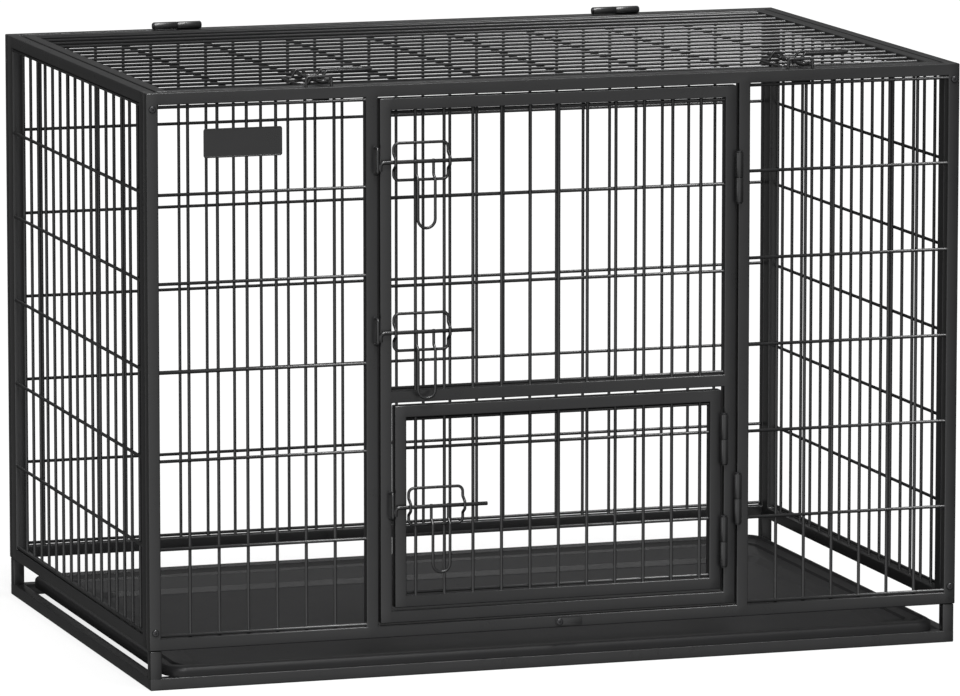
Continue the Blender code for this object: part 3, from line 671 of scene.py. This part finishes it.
class CRATE_OT_walls(PieceOperator, bpy.types.Operator):
    """Weld the front, the back and the two sides of the cage"""

    bl_idname = "crate.walls"
    bl_label = "Walls"

    def execute(self, context):
        sizes = context.scene.crate_sizes
        self.make_front(sizes)
        self.make_wall("back_panel", BACK, sizes.tube, True)
        self.make_wall("left_panel", LEFT, sizes.side_stile, False)
        self.make_wall("right_panel", RIGHT, sizes.side_stile, False)
        return {"FINISHED"}

    def make_wall(self, node, place, stile, centred):
        opening = fixed_opening(node, place, stile)
        piece = start_frame(node, place, [opening])
        lay_fixed_mesh(opening, centred)
        fit_frame(piece, place, node)

    def make_front(self, sizes):
        left, bottom, right, top = fixed_opening("front_panel", FRONT, sizes.tube)
        doorway = outline_of("door", FRONT)[2] + DOOR_GAP
        bays = [(left, bottom, -doorway - sizes.tube, top), (doorway + sizes.tube, bottom, right, top)]
        piece = start_frame("front_panel", FRONT, [*bays, (-doorway, bottom, doorway, top)])
        for bay in bays:
            lay_fixed_mesh(bay)
        self.add_lid_rests(top - SEAT_GAP)
        fit_frame(piece, FRONT, "front_panel")

    def add_lid_rests(self, top):
        """Tabs behind the top tube, under the lid's latches."""
        half, thickness, edge = 0.010, 0.002, 0.0005
        front, back = -0.008, FRONT_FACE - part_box("front_panel")[1][1]
        for side in ("left", "right"):
            x = middle_of(f"lid_latch_{side}_guide", TOP).x
            add_block((x - half, top - thickness, back), (x + half, top, front), edge, 2)


class CRATE_OT_lid(PieceOperator, bpy.types.Operator):
    """Weld the lid"""

    bl_idname = "crate.lid"
    bl_label = "Lid"

    cross_shift: FloatProperty(name="Cross shift", description="Shift along x", default=-0.018, **LENGTH)
    wire: FloatProperty(name="Lid wire", description="Diameter of the lid's wire", default=0.004, **LENGTH)

    def execute(self, context):
        sizes = context.scene.crate_sizes
        left, bottom, right, top = opening = inset_of(outline_of("lid", TOP), sizes.tube)
        piece = start_frame("lid", TOP, [opening])
        middle = (bottom + top) / 2
        rows = [middle + y for y in places_within(top - middle, sizes.wire_pitch, False)]
        span = right - abs(self.cross_shift)
        columns = [self.cross_shift + x for x in places_within(span, sizes.cross_pitch, False)]
        lay_wires(rows + edge_places(bottom, top), left, right, False, False, self.wire)
        lay_wires(columns, bottom, top, True, True, self.wire)
        fit_frame(piece, TOP, "lid")
        return {"FINISHED"}


class CRATE_OT_doors(PieceOperator, bpy.types.Operator):
    """Weld the front door and the feeding door in it"""

    bl_idname = "crate.doors"
    bl_label = "Doors"

    door_drop: FloatProperty(
        name="Door drop", description="First level wire of the door under its rail", default=0.1105, **LENGTH
    )
    feed_drop: FloatProperty(
        name="Feed drop", description="First level wire of the feeding door", default=0.0395, **LENGTH
    )

    def execute(self, context):
        tube = context.scene.crate_sizes.tube
        feed = outline_of("feeding_door", FRONT)
        left, bottom, right, top = inset_of(outline_of("door", FRONT), tube)
        crossbar = feed[3] + FEED_GAP
        upper = (left, crossbar + tube, right, top)
        piece = start_frame("door", FRONT, [upper, (left, bottom, right, crossbar)])
        lay_door_mesh(upper, self.door_drop)
        fit_frame(piece, FRONT, "door")
        opening = inset_of(feed, tube)
        piece = start_frame("feeding_door", FRONT, [opening])
        lay_door_mesh(opening, self.feed_drop)
        fit_frame(piece, FRONT, "feeding_door")
        return {"FINISHED"}


HINGES = {
    "door_hinge_lower": FRONT,
    "door_hinge_upper": FRONT,
    "feeding_hinge_lower": FRONT,
    "feeding_hinge_upper": FRONT,
    "lid_hinge_left": TOP,
    "lid_hinge_right": TOP,
}


class CRATE_OT_hinges(PieceOperator, bpy.types.Operator):
    """Make one hinge and fit it at every door and at the lid"""

    bl_idname = "crate.hinges"
    bl_label = "Hinges"

    length: FloatProperty(name="Barrel length", description="Both knuckles' length", default=0.064, **LENGTH)
    bead: FloatProperty(name="Bead", description="Radius of the weld's beads", default=0.0008, **LENGTH)

    def execute(self, context):
        radius = context.scene.crate_sizes.barrel
        height = radius + SEAT_GAP
        knuckle, pin = self.make_knuckle(radius, height), self.make_pin(height)
        for name, face in HINGES.items():
            place = fitting_place(f"{name}_pin", face)
            fit_copy(knuckle, place, f"{name}_fixed", hinge_coat())
            fit_copy(knuckle, place @ HALF_TURN, f"{name}_moving", hinge_coat())
            fit_copy(pin, place, f"{name}_pin", material_named("pin steel", blackened_steel))
        put_away(knuckle, pin)
        return {"FINISHED"}

    def make_knuckle(self, radius, height):
        """The lower half of the barrel, along y, with a rippled weld bead along its foot."""
        piece = start_piece("knuckle")
        length, along = self.length / 2 - SEAT_GAP, -self.length / 4
        add_bar((0, along, height), radius, length, 32, ALONG_Y)
        apply_bevel(piece, 0.0005, 2)
        self.add_weld(radius, length, along)
        return close_piece(piece)

    def add_weld(self, radius, length, along):
        """A row of lapped beads that fills the corner between the barrel and the tube."""
        pitch = 0.6 * self.bead
        count = int((length - 2 * self.bead) / pitch)
        first = along - pitch * (count - 1) / 2
        place = Vector((0.62 * radius, first, 0.5 * self.bead))
        bpy.ops.mesh.primitive_uv_sphere_add(segments=10, ring_count=6, radius=self.bead, location=place)
        repeat([first + n * pitch for n in range(count)], (0, 1, 0))

    def make_pin(self, height):
        """The pin's shank and its two rounded heads."""
        piece = start_piece("pin")
        shank, head, thickness = 0.0025, 0.004, 0.001
        end = self.length / 2 + SEAT_GAP
        add_bar((0, 0, height), shank, 2 * end, 24, ALONG_Y)
        for side in (-1, 1):
            add_bar((0, side * (end + thickness / 2), height), head, thickness, 24, ALONG_Y)
        apply_bevel(piece, 0.0004, 2)
        return close_piece(piece)


LATCHES = {
    "door_latch_lower": FRONT,
    "door_latch_upper": FRONT,
    "feeding_latch": FRONT,
    "lid_latch_left": TOP,
    "lid_latch_right": TOP,
}


class CRATE_OT_latches(PieceOperator, bpy.types.Operator):
    """Bend one slide latch out of wire and fit it at every door and at the lid"""

    bl_idname = "crate.latches"
    bl_label = "Latches"

    guide_length: FloatProperty(name="Guide length", description="Along the bolt", default=0.071, **LENGTH)
    guide_height: FloatProperty(name="Guide height", description="Across the bolt", default=0.0465, **LENGTH)
    handle_width: FloatProperty(
        name="Handle width", description="Between the handle's legs", default=0.0224, **LENGTH
    )
    handle_drop: FloatProperty(
        name="Handle drop", description="Bolt to the handle's end", default=0.083, **LENGTH
    )
    handle_height: FloatProperty(
        name="Handle height", description="Height of the handle over the face", default=0.012, **LENGTH
    )
    keeper_distance: FloatProperty(
        name="Keeper", description="Keeper from the guide's middle", default=0.0595, **LENGTH
    )

    def execute(self, context):
        sizes = context.scene.crate_sizes
        guide, bolt, keeper = self.make_guide(sizes), self.make_bolt(sizes), self.make_keeper(sizes)
        drawn = Matrix.Translation((sizes.bolt_drawn, 0, sizes.bolt_height))
        aside = Matrix.Translation((-self.keeper_distance, 0, 0))
        for name, face in LATCHES.items():
            place = fitting_place(f"{name}_guide", face)
            fit_copy(guide, place, f"{name}_guide", latch_coat())
            fit_copy(bolt, place @ drawn, f"{name}_bolt", latch_coat())
            fit_copy(keeper, place @ aside, f"{name}_keeper", latch_coat())
        put_away(guide, bolt, keeper)
        return {"FINISHED"}

    def make_guide(self, sizes):
        """A wire loop that bows over the bolt at both ends, its own ends butted in its lower side."""
        across, up, seam = self.guide_length / 2, self.guide_height / 2, 0.00005
        low = sizes.latch_wire / 2 - sizes.wire_depth + sizes.wire / 2
        high = sizes.bolt_height + sizes.bolt / 2 + SEAT_GAP + sizes.latch_wire / 2
        foot, crown = 0.0105, 0.0045
        bow = [(-foot, low), (-crown, high), (crown, high), (foot, low)]
        right = [(across, -up, low), *[(across, y, z) for y, z in bow], (across, up, low)]
        left = [(-across, up, low), *[(-across, -y, z) for y, z in bow], (-across, -up, low)]
        corners = [(seam, -up, low), *right, *left, (-seam, -up, low)]
        corner, bend = 0.007, 0.003
        piece = start_piece("guide")
        draw_bent_wire(corners, sizes.latch_wire, [corner, bend, bend, bend, bend, corner] * 2)
        return close_piece(piece)

    def make_bolt(self, sizes):
        """The rod with its turned-down tip, and the handle welded to it, in the shot position."""
        piece = start_piece("bolt")
        tip, tail = -self.keeper_distance - 0.0113, self.guide_length / 2 + 0.014
        drop, bend = 0.011, 0.005
        draw_bent_wire([(tip, -drop, 0), (tip, 0, 0), (tail, 0, 0)], sizes.bolt, [bend])
        bpy.ops.mesh.select_all(action="DESELECT")
        self.draw_handle(sizes)
        apply_bevel(piece, 0.0004, 2, math.radians(60))
        return close_piece(piece)

    def draw_handle(self, sizes):
        """A long loop whose two legs start over the rod, jog outwards and hang down."""
        middle, radius, bend = -0.013, self.handle_width / 2, 0.003
        start, jog_start, jog_end = 0.0028, -0.0165, -0.0225
        out = self.handle_height - sizes.bolt_height
        legs = [(start, 0), (jog_start, 0), (jog_end, out), (-self.handle_drop, out)]
        left = [(middle - radius, y, z) for y, z in legs]
        right = [(middle + radius, y, z) for y, z in reversed(legs)]
        draw_bent_wire(left + right, sizes.latch_wire, [bend, bend, radius, radius, bend, bend])

    def make_keeper(self, sizes):
        """The staple that the bolt is shot through, with a collar of weld round each leg."""
        piece = start_piece("keeper")
        bottom, top, foot, height, bend = -0.01375, 0.019, 0.0001, 0.012, 0.004
        corners = [(0, bottom, foot), (0, bottom, height), (0, top, height), (0, top, foot)]
        draw_bent_wire(corners, sizes.latch_wire, [bend, bend])
        for y in (bottom, top):
            sides = {"major_segments": 20, "minor_segments": 8}
            radii = {"major_radius": 0.0018, "minor_radius": 0.0006}
            bpy.ops.mesh.primitive_torus_add(**sides, **radii, location=(0, y, 0.0007))
        return close_piece(piece)


# Each step from the tray's sunk floor out to its lip: how far its middle lies inside the tray's side, front
# and back, and half its width there
TRAY_STEPS = (
    ((0.0575, 0.0230, 0.1425), (0.0060, 0.0100, 0.0030)),
    ((0.0318, 0.0124, 0.0608), (0.0010, 0.0003, 0.0012)),
    ((0.0168, 0.0112, 0.0342), (0.0010, 0.0003, 0.0012)),
    ((0.0072, 0.0100, 0.0100), (0.0010, 0.0003, 0.0012)),
)
# The rings of one step: each one's place, from 1 inside to -1 outside, and its share of the rise
STEP_RINGS = ((1, 0), (0.65, 0.1), (-0.75, 0.92), (-1, 1))


def between(start, end, share):
    return start + (end - start) * share


class CRATE_OT_tray(PieceOperator, bpy.types.Operator):
    """Mould the tray"""

    bl_idname = "crate.tray"
    bl_label = "Tray"

    wall: FloatProperty(name="Wall", description="Thickness of the tray", default=0.0025, **LENGTH)
    corner: FloatProperty(name="Corner", description="Radius of the sunk corners", default=0.022, **LENGTH)
    nose: FloatProperty(name="Nose", description="Radius of the front edge", default=0.009, **LENGTH)
    lip: FloatProperty(name="Lip", description="Radius of the other edges", default=0.005, **LENGTH)

    def execute(self, context):
        low, high = (Vector(corner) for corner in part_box("tray"))
        rings = self.rings(low.z, high.z)
        outlines = [self.ring_outline(low, high, insets) for insets, _, _ in rings]
        piece = start_piece("tray_finished")
        self.start_floor(outlines[0])
        self.lift_ring(outlines[0], *rings[0][1:])
        for before, after, (_, level, front_level) in zip(outlines, outlines[1:], rings[1:]):
            self.pull_ring(before, after)
            self.lift_ring(after, level, front_level)
        turn_outwards()
        self.apply_wall(piece)
        fit_piece(piece, Matrix.Identity(4), "tray", material_named("tray plastic", moulded_plastic))
        return {"FINISHED"}

    def rings(self, foot, rim):
        """Each ring's insets, level and front level, from the floor out over a rib to the lip and down."""
        floor, border = foot + 0.0029, rim - 0.0032
        levels, front_levels = (floor, border, rim, border, rim), (floor, rim, rim, rim, rim)
        steps = zip(TRAY_STEPS, zip(levels, levels[1:]), zip(front_levels, front_levels[1:]))
        rings = []
        for (middle, half), rise, front_rise in steps:
            for reach, share in STEP_RINGS:
                insets = [inset + width * reach for inset, width in zip(middle, half)]
                rings.append((insets, between(*rise, share), between(*front_rise, share)))
        for degrees in range(80, -1, -16):
            across, down = 1 - math.cos(math.radians(degrees)), 1 - math.sin(math.radians(degrees))
            insets = [across * radius for radius in (self.lip, self.nose, self.lip)]
            rings.append((insets, rim - down * self.lip, rim - down * self.nose))
        return [*rings, ([0, 0, 0], foot, foot)]

    def ring_outline(self, low, high, insets):
        """A ring's outline, from how far it lies inside the tray's side, front and back."""
        side, front, back = insets
        return low.x + side, low.y + front, high.x - side, high.y - back

    def start_floor(self, outline):
        """The sunk floor with its round corners, its edge selected."""
        bpy.ops.mesh.select_mode(type="VERT")
        add_sheet(outline)
        bpy.ops.mesh.bevel(offset=self.corner, segments=8, affect="VERTICES")
        bpy.ops.mesh.select_mode(type="EDGE")
        bpy.ops.mesh.select_all(action="SELECT")

    def pull_ring(self, before, after):
        """Pull a new ring out of the selected one and stretch it to its own outline."""
        shift = centre_of(after) - centre_of(before)
        across = (after[2] - after[0]) / (before[2] - before[0])
        along = (after[3] - after[1]) / (before[3] - before[1])
        bpy.ops.mesh.extrude_edges_move(TRANSFORM_OT_translate={"value": shift})
        bpy.ops.transform.resize(value=(across, along, 1), center_override=centre_of(after))

    def lift_ring(self, outline, level, front_level):
        """Bring the selected ring to its level, and its front to the front level."""
        mesh = bpy.context.object.data
        for vertex in bmesh.from_edit_mesh(mesh).verts:
            if vertex.select:
                share = max(0, 1 - (vertex.co.y - outline[1]) / self.corner)
                vertex.co.z = between(level, front_level, share)
        bmesh.update_edit_mesh(mesh)

    def apply_wall(self, piece):
        """Give the closed skin its wall, inwards, and smooth it."""
        bpy.ops.object.mode_set(mode="OBJECT")
        wall = piece.modifiers.new("Wall", "SOLIDIFY")
        wall.thickness = self.wall
        wall.offset = -1
        wall.use_even_offset = True
        bpy.ops.object.modifier_apply(modifier=wall.name)
        bpy.ops.object.shade_smooth_by_angle(angle=SMOOTH_BELOW)


class CRATE_OT_screws(PieceOperator, bpy.types.Operator):
    """Make one cross-recessed screw and fit it at the corners and at the clip"""

    bl_idname = "crate.screws"
    bl_label = "Screws"

    radius: FloatProperty(name="Radius", description="Radius of a head", default=0.0045, **LENGTH)
    height: FloatProperty(name="Height", description="Height of a head", default=0.0025, **LENGTH)

    def execute(self, context):
        screw = self.make_screw()
        for side, face in (("front", FRONT), ("back", BACK)):
            for number in range(1, 5):
                self.fit_screw(screw, f"corner_screw_{side}_{number}", face, 0.3 * number)
        self.fit_screw(screw, "clip_screw", FRONT, 0.2)
        put_away(screw)
        return {"FINISHED"}

    def fit_screw(self, screw, node, face, turn):
        """Fit a screw, its top level with the node's, turned a little about its axis."""
        place = middle_of(node, face)
        place.z = heights_of(node, face)[1] - self.height
        at = face @ Matrix.Translation(place) @ Matrix.Rotation(turn, 4, "Z")
        fit_copy(screw, at, node, material_named("screw steel", blackened_steel))

    def make_screw(self):
        """The domed head with its recess, and a shank that starts just inside it."""
        piece = start_piece("screw")
        dome, shank, length, inside = 0.0016, 0.0019, 0.010, 0.0001
        add_bar((0, 0, self.height / 2), self.radius, self.height, 32)
        select_where("FACE", lambda face: face.normal.z > 0.9)
        bpy.ops.mesh.bevel(offset=dome, segments=6, affect="EDGES")
        turn_outwards()
        self.cut_recess(piece)
        bpy.ops.object.mode_set(mode="EDIT")
        add_bar((0, 0, inside - length / 2), shank, length, 16)
        return close_piece(piece)

    def cut_recess(self, piece):
        """Cut the cross out of the head."""
        bpy.ops.object.mode_set(mode="OBJECT")
        cutter = start_piece("recess")
        long, thin, deep = 0.0034, 0.0009, 0.0030
        middle = Vector((0, 0, self.height))
        for size in ((long, thin, deep), (thin, long, deep)):
            bpy.ops.mesh.primitive_cube_add(size=1, location=middle)
            bpy.ops.transform.resize(value=size, center_override=middle)
        bpy.ops.object.mode_set(mode="OBJECT")
        bpy.ops.object.select_all(action="DESELECT")
        bpy.context.view_layer.objects.active = piece
        piece.select_set(True)
        cut = piece.modifiers.new("Recess", "BOOLEAN")
        cut.operation = "DIFFERENCE"
        cut.solver = "EXACT"
        cut.use_self = True
        cut.object = cutter
        bpy.ops.object.modifier_apply(modifier=cut.name)
        bpy.data.meshes.remove(cutter.data)


class CRATE_OT_clip(PieceOperator, bpy.types.Operator):
    """Stamp the turning clip and the bare plate"""

    bl_idname = "crate.clip"
    bl_label = "Clip and plate"

    def execute(self, context):
        self.make_clip()
        self.make_plate()
        return {"FINISHED"}

    def make_clip(self):
        """A strip with one round end, turned aside on its screw."""
        left, bottom, right, top = outline_of("tray_clip", FRONT)
        low, high = heights_of("tray_clip", FRONT)
        piece = start_piece("tray_clip_finished")
        add_sheet((left, bottom, right, top), low)
        round_end, square_end = (top - bottom) / 2 - CLOSE, 0.0012
        for end, radius in ((left, round_end), (right, square_end)):
            select_where("VERT", lambda corner: abs(corner.co.x - end) < CLOSE)
            bpy.ops.mesh.bevel(offset=radius, segments=8, affect="VERTICES")
        thicken_sheet(high - low)
        turn_outwards()
        apply_bevel(piece, 0.00025, 2)
        fit_piece(close_piece(piece), FRONT, "tray_clip", hinge_coat())

    def make_plate(self):
        """A bare plate with round corners and a raised border."""
        low, high = heights_of("front_plate", FRONT)
        piece = start_piece("front_plate_finished")
        corner, border, slope, sink = 0.003, 0.0014, 0.0003, 0.00025
        bpy.ops.mesh.select_mode(type="VERT")
        add_sheet(outline_of("front_plate", FRONT), low)
        bpy.ops.mesh.bevel(offset=corner, segments=8, affect="VERTICES")
        thicken_sheet(high - low)
        bpy.ops.mesh.inset(thickness=border)
        bpy.ops.mesh.inset(thickness=slope, depth=-sink)
        turn_outwards()
        apply_bevel(piece, 0.0002, 2)
        coat = material_named("plate coat", powder_coat, tint=0.9)
        fit_piece(close_piece(piece), FRONT, "front_plate", coat)


# Each lit screen: the way to its middle, and how many degrees from there it is full and has faded
SCREENS = {
    "front": ((-0.30, -0.95, -0.05), 15, 55),
    "top": ((0.10, 0.64, 0.77), 10, 28),
    "left": ((-0.92, -0.28, 0.0), 8, 26),
}
# Each far, wide light: where it shines from, and its width in degrees
LAMPS = {
    "overhead": ((0.1, -0.2, 1.0), 16),
    "key": ((-0.10, -0.65, 0.75), 18),
}
# The photo's camera: its place, how many degrees it looks down and to the right, its lens and its sensor
CAMERA_PLACE = (-3.0147, -9.4006, 1.8616)
CAMERA_DOWN, CAMERA_RIGHT = 8.668, 17.813
CAMERA_LENS, CAMERA_SENSOR = 288.56, 36


class CRATE_OT_stage(PieceOperator, bpy.types.Operator):
    """Set the pale floor, the soft lights and the camera"""

    bl_idname = "crate.stage"
    bl_label = "Stage"

    def execute(self, context):
        stage = context.scene.crate_stage
        self.lay_floor(stage)
        self.hang_screens(stage)
        self.hang_lamps(stage)
        self.set_camera(context)
        return {"FINISHED"}

    def lay_floor(self, stage):
        """A floor that glows by itself and throws no light on the crate."""
        bpy.ops.object.select_all(action="DESELECT")
        bpy.ops.mesh.primitive_circle_add(vertices=64, radius=40, fill_type="NGON", location=(0, 0, 0))
        floor = bpy.context.object
        floor.name = "floor"
        shader = Shader("floor paint")
        cloud = shader.noise(0.6, 2)
        shader.set(
            Base_Color=shader.blend(cloud, shade(stage.floor_colour, 0.995), stage.floor_colour),
            Roughness=0.9,
            Specular_IOR_Level=0.1,
            Emission_Color=(1, 1, 1, 1),
            Emission_Strength=stage.floor_glow,
        )
        floor.data.materials.append(shader.material)
        floor.visible_diffuse = False
        floor.visible_glossy = False

    def hang_screens(self, stage):
        """The surrounding light, with soft lit screens in it."""
        world = bpy.data.worlds.new("studio")
        world.use_nodes = True
        studio = Nodes(world.node_tree)
        heading = studio.node("ShaderNodeTexCoord", {}, {}, "Generated")
        glow = stage.sky
        for name, (place, full, faded) in SCREENS.items():
            towards = {0: heading, 1: Vector(place).normalized()}
            facing = studio.node("ShaderNodeVectorMath", {"operation": "DOT_PRODUCT"}, towards, "Value")
            share = studio.step_between(facing, math.cos(math.radians(faded)), math.cos(math.radians(full)))
            glow = getattr(stage, name) * share + glow
        background = world.node_tree.nodes["Background"].inputs
        studio.feed(background["Strength"], glow)
        studio.feed(background["Color"], (1, 1, 1, 1))
        bpy.context.scene.world = world

    def hang_lamps(self, stage):
        for name, (place, width) in LAMPS.items():
            lamp = bpy.data.lights.new(name, "SUN")
            lamp.angle = math.radians(width)
            lamp.energy = getattr(stage, name)
            light = bpy.data.objects.new(name, lamp)
            light.location = Vector(place) * 3
            light.rotation_euler = Vector(place).to_track_quat("Z", "Y").to_euler()
            bpy.context.scene.collection.objects.link(light)

    def set_camera(self, context):
        lens = bpy.data.cameras.new("camera")
        lens.lens = CAMERA_LENS
        lens.sensor_width = CAMERA_SENSOR
        camera = bpy.data.objects.new("camera", lens)
        camera.location = CAMERA_PLACE
        camera.rotation_euler = (math.radians(90 - CAMERA_DOWN), 0, math.radians(-CAMERA_RIGHT))
        context.scene.collection.objects.link(camera)
        context.scene.camera = camera
        context.scene.view_settings.view_transform = "Standard"


class CRATE_PT_pieces(bpy.types.Panel):
    """Lists the crate's pieces, sizes and finishes"""

    bl_idname = "CRATE_PT_pieces"
    bl_label = "Pet crate"
    bl_space_type = "VIEW_3D"
    bl_region_type = "UI"
    bl_category = "Crate"

    def draw(self, context):
        for group in GROUPS:
            settings = getattr(context.scene, group)
            for name in settings.bl_rna.properties.keys():
                if name not in ("rna_type", "name"):
                    self.layout.prop(settings, name)
        for operator in OPERATORS:
            self.layout.operator(operator.bl_idname)


GROUPS = {"crate_sizes": CrateSizes, "crate_finish": CrateFinish, "crate_stage": CrateStage}
OPERATORS = (
    CRATE_OT_base,
    CRATE_OT_walls,
    CRATE_OT_lid,
    CRATE_OT_doors,
    CRATE_OT_hinges,
    CRATE_OT_latches,
    CRATE_OT_tray,
    CRATE_OT_screws,
    CRATE_OT_clip,
    CRATE_OT_stage,
)


def register():
    for name, group in GROUPS.items():
        bpy.utils.register_class(group)
        setattr(bpy.types.Scene, name, PointerProperty(type=group))
    for operator in OPERATORS:
        bpy.utils.register_class(operator)
    bpy.utils.register_class(CRATE_PT_pieces)


def unregister():
    bpy.utils.unregister_class(CRATE_PT_pieces)
    for operator in reversed(OPERATORS):
        bpy.utils.unregister_class(operator)
    for name, group in GROUPS.items():
        delattr(bpy.types.Scene, name)
        bpy.utils.unregister_class(group)


def main():
    register()
    for operator in OPERATORS:
        group, name = operator.bl_idname.split(".")
        getattr(getattr(bpy.ops, group), name)()


if __name__ == "__main__":
    main()
